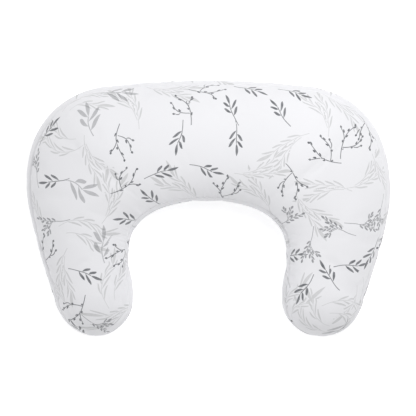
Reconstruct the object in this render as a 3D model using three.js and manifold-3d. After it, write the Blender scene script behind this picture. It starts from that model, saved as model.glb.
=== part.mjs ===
// Nursing pillow: a U-shaped stuffed pillow in a removable zipped cotton cover. Sizes are in millimetres.
// The pillow lies on its flat underside at z = 0. The origin is below the middle of the whole pillow,
// +X runs along the longest extent, +Y points to the closed back of the U and +Z points up.
import * as THREE from 'three';
import Module from 'manifold-3d';

const wasm = await Module();
wasm.setup();

// Overall size
const WIDTH = 580;
const DEPTH = 410;
const BACK_HEIGHT = 150;
const ARM_HEIGHT = 112;
const BACK_BAND = 192;
const ARM_ROOT_WIDTH = 163;

// Outline, seen from above
const BACK_RADIUS = 1380;
const WIDEST_BELOW_BACK = 166;
const ARM_END_INSET = 112;
const OUTER_TURN = { inset: 45, above: 54.5, lean: 0.26 };
const INNER_TURN = { width: 170.3, above: 58 };
const WAIST_ABOVE_END = 135.5;
// How far each curve runs straight on at its start and its end.
const OUTER_EASE = { shoulder: [45.5, 118], flank: [57, 41.5], end: [51, 16] };
const INNER_EASE = { arch: [48, 67], waist: [42, 30], end: [44, 14] };
// How fast the inner edge is followed, against the outer one, and how late it catches up.
const INNER_PACE = 0.72;
const INNER_CATCH_UP = 7;

// Section
const EQUATOR_SHARE = 0.45;
const CROWN_EXPONENT = 2.2;
const FLAT_SHARE = 0.5;
const CROWN_CENTRED_FROM = 0.45;
const ARM_LOFT_FROM = 0.8;
const ROUND_END_FROM = 0.85;
const SEAM_ANGLE = 20;

// Cloth, thread and clearances
const COVER_CLOTH = 0.8;
const CASE_CLOTH = 0.6;
const LAYER_GAP = 0.4;
const SEAT_GAP = 0.3;
const RUN_GAP = 0.4;
const PANEL_GAP = 0.3;
const THREAD_RADIUS = 0.3;
const THREAD_ROOM = 2 * THREAD_RADIUS + 2 * SEAT_GAP;
const STUFFING_OPENING = 110;

// Zip, with heights counted outwards from the cover's outer surface
const SLIT_LENGTH = 280;
const SLIT_WIDTH = 11;
const ZIP_ANGLE = 35;
const ARC_PAST_SLIT = 25;
const TAPE = { from: 1.0, to: 13.5, thick: 0.6, past: 6 };
const COIL = { from: 0.7, to: 2.2, high: 1.4, endGap: 5 };
const STOP = { length: 3, half: 2.4, high: 1.8, gap: 1 };
const STITCH = { beside: 3, width: 0.7, high: 0.5, past: 4 };
const SLIDER = { length: 9, width: 7.6, round: 1.2, top: 1.2, under: 1.0 };
const FLANGE_FROM = 2.6;
const POST = { half: 0.35, length: 2.6, inset: 0.5 };
const BRIDGE = { half: 3, foot: 1, width: 1.5, hollow: 1.6, bar: 0.9 };
const PULLER = { length: 24, width: 6, neck: 5.2, thick: 0.9, slotHalf: 1.5, slotEnd: 4.2, round: 1.5 };
const SLIDER_END_GAP = 1;

const tapeTop = -COVER_CLOTH - LAYER_GAP;
const tapeLow = tapeTop - TAPE.thick;
const coilLow = tapeTop + SEAT_GAP;
const coilHigh = coilLow + COIL.high;
const sliderTopLow = coilHigh + RUN_GAP;
const sliderTopHigh = sliderTopLow + SLIDER.top;
const sliderUnderHigh = tapeLow - RUN_GAP;
const sliderUnderLow = sliderUnderHigh - SLIDER.under;
const ZIP_ROOM = RUN_GAP - sliderUnderLow - COVER_CLOTH;

// Mesh fineness
const ZIP_STEPS = 5;
const ARM_STEPS = 18;
const END_CROWDING = 1.35;

const v2 = (x, y) => new THREE.Vector2(x, y);
const v3 = (x, y, z) => new THREE.Vector3(x, y, z);

// ---------- outline ----------

const half = WIDTH / 2;
const backY = DEPTH / 2;
const endY = -DEPTH / 2;
const arcCentreY = backY - BACK_RADIUS;
const arcAngle = (SLIT_LENGTH / 2 + ARC_PAST_SLIT) / BACK_RADIUS;
const armEnd = v2(half - ARM_END_INSET, endY);

function curve(start, startAlong, end, endAlong, [startEase, endEase]) {
  const first = start.clone().addScaledVector(startAlong, startEase);
  const second = end.clone().addScaledVector(endAlong, -endEase);
  return new THREE.CubicBezierCurve(start, first, second, end);
}

const right = v2(1, 0);
const left = v2(-1, 0);
const down = v2(0, -1);

const arcPoint = v2(BACK_RADIUS * Math.sin(arcAngle), arcCentreY + BACK_RADIUS * Math.cos(arcAngle));
const arcAlong = v2(Math.cos(arcAngle), -Math.sin(arcAngle));
const widest = v2(half, backY - WIDEST_BELOW_BACK);
const outerTurn = v2(half - OUTER_TURN.inset, endY + OUTER_TURN.above);
const armLean = v2(-Math.sin(OUTER_TURN.lean), -Math.cos(OUTER_TURN.lean));

const outerSide = new THREE.CurvePath();
outerSide.add(curve(arcPoint, arcAlong, widest, down, OUTER_EASE.shoulder));
outerSide.add(curve(widest, down, outerTurn, armLean, OUTER_EASE.flank));
outerSide.add(curve(outerTurn, armLean, armEnd, left, OUTER_EASE.end));

const archTop = v2(0, backY - BACK_BAND);
const waist = v2(half - ARM_ROOT_WIDTH, endY + WAIST_ABOVE_END);
const innerTurn = v2(half - INNER_TURN.width, endY + INNER_TURN.above);

const innerSide = new THREE.CurvePath();
innerSide.add(curve(archTop, right, waist, down, INNER_EASE.arch));
innerSide.add(curve(waist, down, innerTurn, down, INNER_EASE.waist));
innerSide.add(curve(innerTurn, down, armEnd, right, INNER_EASE.end));

const arcLength = BACK_RADIUS * arcAngle;
const outerLength = arcLength + outerSide.getLength();
const arcShare = arcLength / outerLength;

// A place along the pillow is a share from 0 at the middle of the back to 1 at an arm's end.
function outerAt(share) {
  const along = share * outerLength;
  if (along <= arcLength) {
    const angle = along / BACK_RADIUS;
    return v2(BACK_RADIUS * Math.sin(angle), arcCentreY + BACK_RADIUS * Math.cos(angle));
  }
  return outerSide.getPoint(Math.min(1, (along - arcLength) / (outerLength - arcLength)));
}

function innerAt(share) {
  const along = INNER_PACE * share + (1 - INNER_PACE) * share ** INNER_CATCH_UP;
  return innerSide.getPoint(Math.min(1, along));
}

// Over the back the crown runs on an arc about the back's own centre, which keeps the zip's run round.
function backCrownAt(share) {
  const angle = (share * outerLength) / BACK_RADIUS;
  const radius = BACK_RADIUS - BACK_BAND / 2;
  return v2(radius * Math.sin(angle), arcCentreY + radius * Math.cos(angle));
}

function smooth(t) {
  const c = Math.min(1, Math.max(0, t));
  return c * c * (3 - 2 * c);
}

// ---------- section ----------

const endWidth = outerAt(ROUND_END_FROM).distanceTo(innerAt(ROUND_END_FROM));

function section(share) {
  const outer = outerAt(share);
  const inner = innerAt(share);
  const atMiddle = outer.clone().add(inner).multiplyScalar(0.5);
  const centring = smooth((share - arcShare) / (CROWN_CENTRED_FROM - arcShare));
  const crown = backCrownAt(share).lerp(atMiddle, centring);
  const loftBlend = smooth((share - arcShare) / (ARM_LOFT_FROM - arcShare));
  const loft = BACK_HEIGHT + (ARM_HEIGHT - BACK_HEIGHT) * loftBlend;
  const fullness = Math.min(1, outer.distanceTo(inner) / endWidth);
  return { outer, inner, crown, loft, fullness };
}

// A place around the section is an angle: 0 at the outer edge, 90 at the crown, 180 at the inner edge,
// 270 to 290 over the flat underside and 380 back at the outer edge.
const RING = 380;

function around(angle) {
  const a = ((angle % RING) + RING) % RING;
  if (a <= 180) {
    const t = THREE.MathUtils.degToRad(a);
    const c = Math.cos(t);
    const power = 2 / CROWN_EXPONENT;
    return { side: Math.sign(c) * Math.abs(c) ** power, rise: Math.max(0, Math.sin(t)) ** power };
  }
  if (a < 270) {
    const t = THREE.MathUtils.degToRad(a - 180);
    return { side: -FLAT_SHARE - (1 - FLAT_SHARE) * Math.cos(t), rise: -Math.sin(t) };
  }
  if (a <= 290) {
    return { side: FLAT_SHARE * ((a - 280) / 10), rise: -1 };
  }
  const t = THREE.MathUtils.degToRad(RING - a);
  return { side: FLAT_SHARE + (1 - FLAT_SHARE) * Math.cos(t), rise: -Math.sin(t) };
}

// The pillow's outer surface. A negative share is on the left of the middle.
function surface(share, angle) {
  const cut = section(Math.abs(share));
  const { side, rise } = around(angle);
  const edge = side >= 0 ? cut.outer : cut.inner;
  const plan = cut.crown.clone().lerp(edge, Math.abs(side));
  const equator = cut.loft * EQUATOR_SHARE;
  const reach = rise >= 0 ? cut.loft - equator : equator;
  return v3(share < 0 ? -plan.x : plan.x, plan.y, equator + reach * cut.fullness * rise);
}

// ---------- grid of stations along the pillow and rows around it ----------

const flankRadius = Math.hypot(
  (BACK_BAND / 2) * (1 - FLAT_SHARE) * Math.sin(THREE.MathUtils.degToRad(ZIP_ANGLE)),
  BACK_HEIGHT * EQUATOR_SHARE * Math.cos(THREE.MathUtils.degToRad(ZIP_ANGLE)),
);
const slitTurn = THREE.MathUtils.radToDeg(SLIT_WIDTH / 2 / flankRadius);
const tapeTurn = THREE.MathUtils.radToDeg((TAPE.to + LAYER_GAP) / flankRadius);

const halfShares = [];
for (let k = 1; k <= ZIP_STEPS; k += 1) {
  halfShares.push(((SLIT_LENGTH / 2) * k) / ZIP_STEPS / outerLength);
}
halfShares.push(arcShare);
for (let k = 1; k <= ARM_STEPS; k += 1) {
  halfShares.push(1 - (1 - arcShare) * (1 - k / ARM_STEPS) ** END_CROWDING);
}
const stations = [...halfShares.map((s) => -s).reverse(), 0, ...halfShares];
const lastStation = stations.length - 1;
const middleStation = lastStation / 2;

const rows = [
  0, SEAM_ANGLE, 38, 56, 73, 90, 107, 124, 142, 180 - SEAM_ANGLE, 180,
  205, 230, 252, 270, 280, 290, 308,
  RING - ZIP_ANGLE - tapeTurn,
  RING - ZIP_ANGLE - slitTurn,
  RING - ZIP_ANGLE + slitTurn,
  RING - ZIP_ANGLE + tapeTurn,
];
const rowCount = rows.length;
const OUTER_EDGE_ROW = 0;
const OUTER_SEAM_ROW = 1;
const INNER_SEAM_ROW = 9;
const INNER_EDGE_ROW = 10;
const TAPE_LOW_ROW = 18;
const SLIT_LOW_ROW = 19;
const SLIT_HIGH_ROW = 20;
const TAPE_HIGH_ROW = 21;

const isEnd = (i) => i === 0 || i === lastStation;

function gridNode(i, j) {
  const share = stations[i];
  const angle = rows[j];
  const point = surface(share, angle);
  if (isEnd(i)) {
    return { point, normal: v3(0, -1, 0), up: v3(0, 0, 1) };
  }
  const along = surface(share + 0.002, angle).sub(surface(share - 0.002, angle));
  const turn = surface(share, angle + 0.4).sub(surface(share, angle - 0.4)).normalize();
  const normal = turn.clone().cross(along).normalize();
  const up = turn.multiplyScalar(angle < 90 || angle > 280 ? 1 : -1);
  return { point, normal, up };
}

const grid = stations.map((_, i) => rows.map((__, j) => gridNode(i, j)));

function at(i, j, depth, lift = 0) {
  const { point, normal, up } = grid[i][j];
  return point.clone().addScaledVector(normal, -depth).addScaledVector(up, lift);
}

// ---------- depths below the outer surface ----------

const inZip = (i, j) => Math.abs(i - middleStation) <= ZIP_STEPS && j >= TAPE_LOW_ROW;
const atOpening = (i, j) => j === INNER_EDGE_ROW && Math.abs(grid[i][j].point.x) <= STUFFING_OPENING;

function roomUnderCover(i, j) {
  if (inZip(i, j)) {
    return ZIP_ROOM;
  }
  if (isEnd(i) || j === OUTER_SEAM_ROW || j === INNER_SEAM_ROW || atOpening(i, j)) {
    return THREAD_ROOM;
  }
  return LAYER_GAP;
}

function roomUnderCase(i, j) {
  return isEnd(i) || j === OUTER_EDGE_ROW || j === INNER_EDGE_ROW ? THREAD_ROOM : LAYER_GAP;
}

const coverOuter = () => 0;
const coverInner = () => COVER_CLOTH;
const caseOuter = (i, j) => COVER_CLOTH + roomUnderCover(i, j);
const caseInner = (i, j) => caseOuter(i, j) + CASE_CLOTH;
const fillSkin = (i, j) => caseInner(i, j) + roomUnderCase(i, j);

// ---------- builders ----------

function geometryFrom(points, triangles) {
  const geometry = new THREE.BufferGeometry();
  geometry.setAttribute('position', new THREE.Float32BufferAttribute(points.flatMap((p) => p.toArray()), 3));
  geometry.setIndex(triangles.flat());
  geometry.computeVertexNormals();
  return geometry;
}

// A panel of cloth: the grid squares that has() accepts, between two depths, with its rim walled.
// Along the rows in rim it stops half a gap short of its neighbour, on the side given by away.
function panel(has, outerDepth, innerDepth, rim, away) {
  const points = [];
  const triangles = [];
  const known = new Map();
  const vertex = (i, j, face) => {
    const key = isEnd(i) ? `${i} ${face}` : `${i} ${j} ${face}`;
    if (!known.has(key)) {
      const lift = isEnd(i) || rim.includes(j) ? (away * PANEL_GAP) / 2 : 0;
      known.set(key, points.length);
      points.push(at(i, j, face === 'outer' ? outerDepth(i, j) : innerDepth(i, j), lift));
    }
    return known.get(key);
  };
  const face = (a, b, c) => {
    if (a !== b && b !== c && a !== c) {
      triangles.push([a, b, c]);
    }
  };
  const present = (i, j) => i >= 0 && i < lastStation && has(i, (j + rowCount) % rowCount);
  for (let i = 0; i < lastStation; i += 1) {
    for (let j = 0; j < rowCount; j += 1) {
      if (!present(i, j)) {
        continue;
      }
      const next = (j + 1) % rowCount;
      const corners = [[i, j], [i, next], [i + 1, next], [i + 1, j]];
      const [a, b, c, d] = corners.map(([m, n]) => vertex(m, n, 'outer'));
      face(a, b, c);
      face(a, c, d);
      if (!innerDepth) {
        continue;
      }
      const [e, f, g, h] = corners.map(([m, n]) => vertex(m, n, 'inner'));
      face(e, g, f);
      face(e, h, g);
      const wall = (p, q, pIn, qIn) => {
        face(q, p, pIn);
        face(q, pIn, qIn);
      };
      if (!isEnd(i) && !present(i - 1, j)) {
        wall(a, b, e, f);
      }
      if (!present(i, j + 1)) {
        wall(b, c, f, g);
      }
      if (!isEnd(i + 1) && !present(i + 1, j)) {
        wall(c, d, g, h);
      }
      if (!present(i, j - 1)) {
        wall(d, a, h, e);
      }
    }
  }
  return geometryFrom(points, triangles);
}

// A bar through matching rings of points, closed on itself or capped at both ends.
function sweep(rings, closed) {
  const sides = rings[0].length;
  const triangles = [];
  const spans = closed ? rings.length : rings.length - 1;
  for (let i = 0; i < spans; i += 1) {
    const here = i * sides;
    const there = ((i + 1) % rings.length) * sides;
    for (let k = 0; k < sides; k += 1) {
      const next = (k + 1) % sides;
      triangles.push([here + k, there + next, there + k], [here + k, here + next, there + next]);
    }
  }
  if (!closed) {
    const last = (rings.length - 1) * sides;
    for (let k = 1; k < sides - 1; k += 1) {
      triangles.push([0, k + 1, k], [last, last + k, last + k + 1]);
    }
  }
  const points = rings.flat();
  const volume = triangles.reduce((sum, [a, b, c]) => {
    return sum + points[a].dot(points[b].clone().cross(points[c]));
  }, 0);
  return geometryFrom(points, volume < 0 ? triangles.map(([a, b, c]) => [a, c, b]) : triangles);
}

// A thread ring of six sides around one place of the grid.
function threadRing(i, j, depth) {
  const { normal, up } = grid[i][j];
  const centre = at(i, j, depth);
  return [0, 1, 2, 3, 4, 5].map((k) => {
    const turn = (k * Math.PI) / 3;
    const out = normal.clone().multiplyScalar(THREAD_RADIUS * Math.cos(turn));
    return centre.clone().add(out).addScaledVector(up, THREAD_RADIUS * Math.sin(turn));
  });
}

// The thread of a seam that runs out along one row and home along another.
function seamThread(outRow, homeRow, depth) {
  const rings = [];
  for (let i = 0; i <= lastStation; i += 1) {
    rings.push(threadRing(i, outRow, depth(i, outRow)));
  }
  for (let i = lastStation - 1; i > 0; i -= 1) {
    rings.push(threadRing(i, homeRow, depth(i, homeRow)));
  }
  return sweep(rings, true);
}

// ---------- places in the zip: along the arc, across the slit (up is positive) and outwards ----------

function zipAtStation(i, across, out) {
  const node = (j) => grid[i][j];
  const gap = node(SLIT_HIGH_ROW).point.distanceTo(node(SLIT_LOW_ROW).point) / 2;
  const [from, to, span] = across >= 0
    ? [node(SLIT_HIGH_ROW), node(TAPE_HIGH_ROW), across - gap]
    : [node(SLIT_LOW_ROW), node(TAPE_LOW_ROW), -across - gap];
  const low = node(SLIT_LOW_ROW);
  const high = node(SLIT_HIGH_ROW);
  const inSlit = (key) => low[key].clone().lerp(high[key], (across + gap) / (2 * gap));
  const beside = (key) => from[key].clone().lerp(to[key], span / from.point.distanceTo(to.point));
  const pick = span <= 0 ? inSlit : beside;
  return pick('point').addScaledVector(pick('normal').normalize(), out);
}

const stationAlong = stations.map((share) => share * outerLength);

function zipPoint(along, across, out) {
  const after = stationAlong.findIndex((s) => s > along);
  const share = (along - stationAlong[after - 1]) / (stationAlong[after] - stationAlong[after - 1]);
  return zipAtStation(after - 1, across, out).lerp(zipAtStation(after, across, out), share);
}

// A straight run of the zip: its outline in (across, out) is carried from one place along the arc to another.
function zipBar(from, to, outline) {
  const places = [from, ...stationAlong.filter((s) => s > from + 0.5 && s < to - 0.5), to];
  return sweep(places.map((s) => outline.map(([across, out]) => zipPoint(s, across, out))), false);
}

function zipStrip(from, to, acrossFrom, acrossTo, low, high) {
  const inner = Math.min(acrossFrom, acrossTo);
  const outer = Math.max(acrossFrom, acrossTo);
  return zipBar(from, to, [[inner, low], [outer, low], [outer, high], [inner, high]]);
}

function tapeOutline(sign) {
  const gap = grid[middleStation][SLIT_HIGH_ROW].point.distanceTo(grid[middleStation][SLIT_LOW_ROW].point) / 2;
  const bend = gap * sign;
  const from = TAPE.from * sign;
  const to = TAPE.to * sign;
  return [[from, tapeLow], [bend, tapeLow], [to, tapeLow], [to, tapeTop], [bend, tapeTop], [from, tapeTop]];
}

// ---------- slider and puller, made flat and then set on the arc ----------

function manifoldOf(geometry) {
  const source = geometry.index ? geometry.toNonIndexed() : geometry;
  const position = source.getAttribute('position');
  const points = [];
  const known = new Map();
  const index = [];
  for (let k = 0; k < position.count; k += 1) {
    const point = v3().fromBufferAttribute(position, k);
    const key = point.toArray().map((c) => Math.round(c * 1e4)).join(' ');
    if (!known.has(key)) {
      known.set(key, points.length);
      points.push(point);
    }
    index.push(known.get(key));
  }
  const vertProperties = new Float32Array(points.flatMap((p) => p.toArray()));
  return new wasm.Manifold(new wasm.Mesh({ numProp: 3, vertProperties, triVerts: new Uint32Array(index) }));
}

function geometryOf(manifold) {
  const mesh = manifold.getMesh();
  const geometry = new THREE.BufferGeometry();
  geometry.setAttribute('position', new THREE.BufferAttribute(new Float32Array(mesh.vertProperties), 3));
  geometry.setIndex(new THREE.BufferAttribute(new Uint32Array(mesh.triVerts), 1));
  geometry.computeVertexNormals();
  return geometry;
}

function roundedShape(x0, x1, width, radius) {
  const h = width / 2;
  const shape = new THREE.Shape();
  shape.moveTo(x0 + radius, -h);
  shape.lineTo(x1 - radius, -h);
  shape.absarc(x1 - radius, -h + radius, radius, -Math.PI / 2, 0, false);
  shape.lineTo(x1, h - radius);
  shape.absarc(x1 - radius, h - radius, radius, 0, Math.PI / 2, false);
  shape.lineTo(x0 + radius, h);
  shape.absarc(x0 + radius, h - radius, radius, Math.PI / 2, Math.PI, false);
  shape.lineTo(x0, -h + radius);
  shape.absarc(x0 + radius, -h + radius, radius, Math.PI, Math.PI * 1.5, false);
  return shape;
}

function slab(shape, low, high) {
  const geometry = new THREE.ExtrudeGeometry(shape, { depth: high - low, bevelEnabled: false, curveSegments: 4 });
  return manifoldOf(geometry.translate(0, 0, low));
}

function block(x0, x1, y0, y1, z0, z1) {
  const geometry = new THREE.BoxGeometry(x1 - x0, y1 - y0, z1 - z0);
  return manifoldOf(geometry.translate((x0 + x1) / 2, (y0 + y1) / 2, (z0 + z1) / 2));
}

const bridgeLow = sliderTopHigh + BRIDGE.hollow;
const bridgeTop = bridgeLow + BRIDGE.bar;
const pivotOut = sliderTopHigh + BRIDGE.hollow / 2;

function sliderSolid() {
  const end = SLIDER.length / 2;
  const side = SLIDER.width / 2;
  const plate = roundedShape(-end, end, SLIDER.width, SLIDER.round);
  const flange = end - SLIDER.round;
  const flangeLow = tapeTop + RUN_GAP;
  const postFrom = POST.inset - end;
  const bridgeSide = BRIDGE.width / 2;
  const foot = BRIDGE.half - BRIDGE.foot;
  return slab(plate, sliderTopLow, sliderTopHigh)
    .add(slab(plate, sliderUnderLow, sliderUnderHigh))
    .add(block(-flange, flange, FLANGE_FROM, side, flangeLow, sliderTopHigh))
    .add(block(-flange, flange, -side, -FLANGE_FROM, flangeLow, sliderTopHigh))
    .add(block(postFrom, postFrom + POST.length, -POST.half, POST.half, sliderUnderLow, sliderTopHigh))
    .add(block(-BRIDGE.half, BRIDGE.half, -bridgeSide, bridgeSide, sliderTopHigh, bridgeTop))
    .subtract(block(-foot, foot, -side, side, sliderTopHigh, bridgeLow));
}

function pullerSolid() {
  const low = pivotOut - PULLER.thick / 2;
  const high = pivotOut + PULLER.thick / 2;
  const pin = new THREE.CylinderGeometry(PULLER.thick / 2, PULLER.thick / 2, PULLER.neck, 8);
  return slab(roundedShape(BRIDGE.half, PULLER.length, PULLER.width, PULLER.round), low, high)
    .add(block(0, BRIDGE.half + PULLER.round, -PULLER.neck / 2, PULLER.neck / 2, low, high))
    .subtract(block(-1, PULLER.slotEnd, -PULLER.slotHalf, PULLER.slotHalf, low - 1, high + 1))
    .add(manifoldOf(pin.translate(0, 0, pivotOut)));
}

const coilEnd = SLIT_LENGTH / 2 - COIL.endGap;
const sliderAlong = coilEnd - SLIDER.length / 2 - SLIDER_END_GAP;

const sliderFrame = (() => {
  const origin = zipAtStation(middleStation, 0, 0);
  const across = zipAtStation(middleStation, 1, 0).sub(origin).normalize();
  const back = v3(-1, 0, 0);
  const out = back.clone().cross(across);
  const place = new THREE.Matrix4().makeBasis(back, across, out).setPosition(origin);
  const turn = new THREE.Matrix4().makeRotationZ(-sliderAlong / BACK_RADIUS);
  const toCentre = new THREE.Matrix4().makeTranslation(0, -arcCentreY, 0);
  const fromCentre = new THREE.Matrix4().makeTranslation(0, arcCentreY, 0);
  return fromCentre.multiply(turn).multiply(toCentre).multiply(place);
})();

// ---------- the pillow ----------

const pillow = new THREE.Group();
pillow.name = 'nursing_pillow';

function piece(name, geometry, color, roughness, metalness = 0) {
  const mesh = new THREE.Mesh(geometry, new THREE.MeshStandardMaterial({ color, roughness, metalness }));
  mesh.name = name;
  pillow.add(mesh);
}

const PRINTED_COTTON = '#eef0f3';
const PLAIN_COTTON = '#f3f1ec';
const THREAD_WHITE = '#f6f6f6';
const ZIP_WHITE = '#f2f2f3';
const ZIP_METAL = '#c9cbce';

const onTop = (i, j) => j >= OUTER_SEAM_ROW && j < INNER_SEAM_ROW;
const inSlit = (i, j) => j === SLIT_LOW_ROW && i >= middleStation - ZIP_STEPS && i < middleStation + ZIP_STEPS;
const below = (i, j) => !onTop(i, j) && !inSlit(i, j);
const onCaseTop = (i, j) => j < INNER_EDGE_ROW;
const coverRim = [OUTER_SEAM_ROW, INNER_SEAM_ROW];
const caseRim = [OUTER_EDGE_ROW, INNER_EDGE_ROW];
const coverThreadDepth = () => COVER_CLOTH + THREAD_ROOM / 2;
const caseThreadDepth = (i, j) => caseInner(i, j) + THREAD_ROOM / 2;

piece('cover_top_panel', panel(onTop, coverOuter, coverInner, coverRim, 1), PRINTED_COTTON, 0.9);
piece('cover_bottom_panel', panel(below, coverOuter, coverInner, coverRim, -1), PRINTED_COTTON, 0.9);
piece('cover_seam_thread', seamThread(OUTER_SEAM_ROW, INNER_SEAM_ROW, coverThreadDepth), THREAD_WHITE, 0.7);

const tapeEnd = SLIT_LENGTH / 2 + TAPE.past;
piece('zip_tape_upper', zipBar(-tapeEnd, tapeEnd, tapeOutline(1)), ZIP_WHITE, 0.85);
piece('zip_tape_lower', zipBar(-tapeEnd, tapeEnd, tapeOutline(-1)), ZIP_WHITE, 0.85);

const coil = (sign) => zipStrip(-coilEnd, coilEnd, sign * COIL.from, sign * COIL.to, coilLow, coilHigh);
piece('zip_coil_upper', coil(1), ZIP_WHITE, 0.45);
piece('zip_coil_lower', coil(-1), ZIP_WHITE, 0.45);

const stopFrom = coilEnd + STOP.gap;
const stopTo = stopFrom + STOP.length;
const stop = (from, to) => zipStrip(from, to, -STOP.half, STOP.half, coilLow, coilLow + STOP.high);
piece('zip_closed_end_stop', stop(stopFrom, stopTo), ZIP_METAL, 0.35, 1);
piece('zip_open_end_stop', stop(-stopTo, -stopFrom), ZIP_METAL, 0.35, 1);
piece('zip_slider_body', geometryOf(sliderSolid()).applyMatrix4(sliderFrame), ZIP_METAL, 0.3, 1);
piece('zip_puller', geometryOf(pullerSolid()).applyMatrix4(sliderFrame), ZIP_METAL, 0.3, 1);

const stitchFrom = SLIT_WIDTH / 2 + STITCH.beside;
const stitchTo = stitchFrom + STITCH.width;
const stitchEnd = SLIT_LENGTH / 2 + STITCH.past;
const stitch = (sign) => {
  return zipStrip(-stitchEnd, stitchEnd, sign * stitchFrom, sign * stitchTo, SEAT_GAP, SEAT_GAP + STITCH.high);
};
piece('zip_stitch_upper', stitch(1), THREAD_WHITE, 0.7);
piece('zip_stitch_lower', stitch(-1), THREAD_WHITE, 0.7);

piece('inner_case_top', panel(onCaseTop, caseOuter, caseInner, caseRim, 1), PLAIN_COTTON, 0.9);
piece('inner_case_bottom', panel((i, j) => !onCaseTop(i, j), caseOuter, caseInner, caseRim, -1), PLAIN_COTTON, 0.9);
piece('inner_case_seam_thread', seamThread(OUTER_EDGE_ROW, INNER_EDGE_ROW, caseThreadDepth), THREAD_WHITE, 0.7);

const openingRings = [];
for (let i = 0; i <= lastStation; i += 1) {
  if (Math.abs(grid[i][INNER_EDGE_ROW].point.x) <= STUFFING_OPENING / 2) {
    openingRings.push(threadRing(i, INNER_EDGE_ROW, COVER_CLOTH + THREAD_ROOM / 2));
  }
}
piece('stuffing_opening_stitch', sweep(openingRings, false), THREAD_WHITE, 0.7);
piece('fibre_fill', panel(() => true, fillSkin, null, [], 0), '#fbfbfb', 1);

export default pillow;
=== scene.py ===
"""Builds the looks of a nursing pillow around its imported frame: printed cover, seam, zip and fill."""

import math
from collections import namedtuple
from functools import cache

import bmesh
import bpy
import numpy as np
from mathutils import Matrix, Vector, kdtree


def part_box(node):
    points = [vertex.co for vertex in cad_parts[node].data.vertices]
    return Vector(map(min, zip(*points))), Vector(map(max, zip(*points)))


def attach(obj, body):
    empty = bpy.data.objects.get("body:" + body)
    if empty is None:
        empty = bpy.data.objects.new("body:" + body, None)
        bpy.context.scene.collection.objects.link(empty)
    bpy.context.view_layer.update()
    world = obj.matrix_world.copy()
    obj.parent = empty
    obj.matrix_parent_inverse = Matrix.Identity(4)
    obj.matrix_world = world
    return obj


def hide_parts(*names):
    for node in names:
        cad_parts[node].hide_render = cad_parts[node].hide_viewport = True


bl_info = {
    "name": "Nursing pillow",
    "version": (1, 0, 0),
    "blender": (4, 5, 0),
    "location": "View3D > Sidebar > Pillow",
    "description": "Makes a U-shaped nursing pillow in a leaf-print cotton cover around its frame",
    "category": "Object",
}

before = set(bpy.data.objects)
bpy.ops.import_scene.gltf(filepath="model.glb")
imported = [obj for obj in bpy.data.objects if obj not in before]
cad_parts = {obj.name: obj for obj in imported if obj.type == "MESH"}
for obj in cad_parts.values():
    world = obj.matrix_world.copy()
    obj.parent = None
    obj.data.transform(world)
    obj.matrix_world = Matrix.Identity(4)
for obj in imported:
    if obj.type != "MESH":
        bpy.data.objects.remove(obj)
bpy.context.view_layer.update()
MM = 0.001

# ---------- the pillow's form, in millimetres ----------

COVER_NODES = ("cover_top_panel", "cover_bottom_panel")
CORNERS = np.array([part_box(node) for node in COVER_NODES]) / MM
LOW, HIGH = Vector(CORNERS[:, 0].min(axis=0)), Vector(CORNERS[:, 1].max(axis=0))
HALF_WIDTH = 290.0
BACK_Y = HIGH.y
END_Y = LOW.y
BACK_HEIGHT = HIGH.z
ARM_HEIGHT = 112.0
BACK_BAND = 192.0
BACK_RADIUS = 1380.0
ARC_HALF = 165.0
SLIT_HALF = 140.0
SLIT_WIDTH = 11.0
ZIP_ANGLE = 35.0
EQUATOR_SHARE = 0.45
FLAT_SHARE = 0.5
CROWN_POWER = 2 / 2.2
SEAM_ANGLE = 20.0
RING = 380.0
COVER_CLOTH = 0.8
# Shares of the way from the middle of the back to an arm's end: where the crown has come to the arm's middle,
# where the loft has come down to the arm's, and from where the end rounds off.
CENTRED_SHARE = 0.45
LOWERED_SHARE = 0.8
TIP_SHARE = 0.85
CURVE_STEPS = 200
# How far the arms turn inwards on their outer side, in radians.
ARM_LEAN = 0.26


def bezier(start, start_handle, end_handle, end):
    """Points along a cubic curve whose handles are counted from its ends."""
    t = np.linspace(0, 1, CURVE_STEPS)[:, None]
    p0, p3 = np.array(start, float), np.array(end, float)
    p1, p2 = p0 + start_handle, p3 + end_handle
    return (1 - t) ** 3 * p0 + 3 * (1 - t) ** 2 * t * p1 + 3 * (1 - t) * t * t * p2 + t**3 * p3


@cache
def outline():
    """The outer edge past the back's arc and the inner edge, each with its length so far."""
    angle = ARC_HALF / BACK_RADIUS
    centre = BACK_Y - BACK_RADIUS
    arc_end = (BACK_RADIUS * math.sin(angle), centre + BACK_RADIUS * math.cos(angle))
    arc_along = np.array([math.cos(angle), -math.sin(angle)])
    lean = np.array([-math.sin(ARM_LEAN), -math.cos(ARM_LEAN)])
    widest = (HALF_WIDTH, BACK_Y - 166)
    outer_turn = (HALF_WIDTH - 45, END_Y + 54.5)
    arm_end = (HALF_WIDTH - 112, END_Y)
    outer = [
        bezier(arc_end, 45.5 * arc_along, (0, 118), widest),
        bezier(widest, (0, -57), -41.5 * lean, outer_turn),
        bezier(outer_turn, 51 * lean, (16, 0), arm_end),
    ]
    arch_top = (0, BACK_Y - BACK_BAND)
    waist = (HALF_WIDTH - 163, END_Y + 135.5)
    inner_turn = (HALF_WIDTH - 170.3, END_Y + 58)
    inner = [
        bezier(arch_top, (48, 0), (0, 67), waist),
        bezier(waist, (0, -42), (0, 30), inner_turn),
        bezier(inner_turn, (0, -44), (-14, 0), arm_end),
    ]
    return [with_length(np.vstack(part)) for part in (outer, inner)]


def with_length(points):
    """Points and how far along the line each of them is."""
    step = np.hypot(*np.diff(points, axis=0).T)
    return points, np.concatenate([[0], np.cumsum(step)])


def along(line, length):
    """The points of a line at these lengths."""
    points, so_far = line
    return np.stack([np.interp(length, so_far, points[:, k]) for k in (0, 1)], axis=-1)


@cache
def outer_length():
    """How long the outer edge is from the middle of the back to an arm's end, in millimetres."""
    return ARC_HALF + outline()[0][1][-1]


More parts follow.
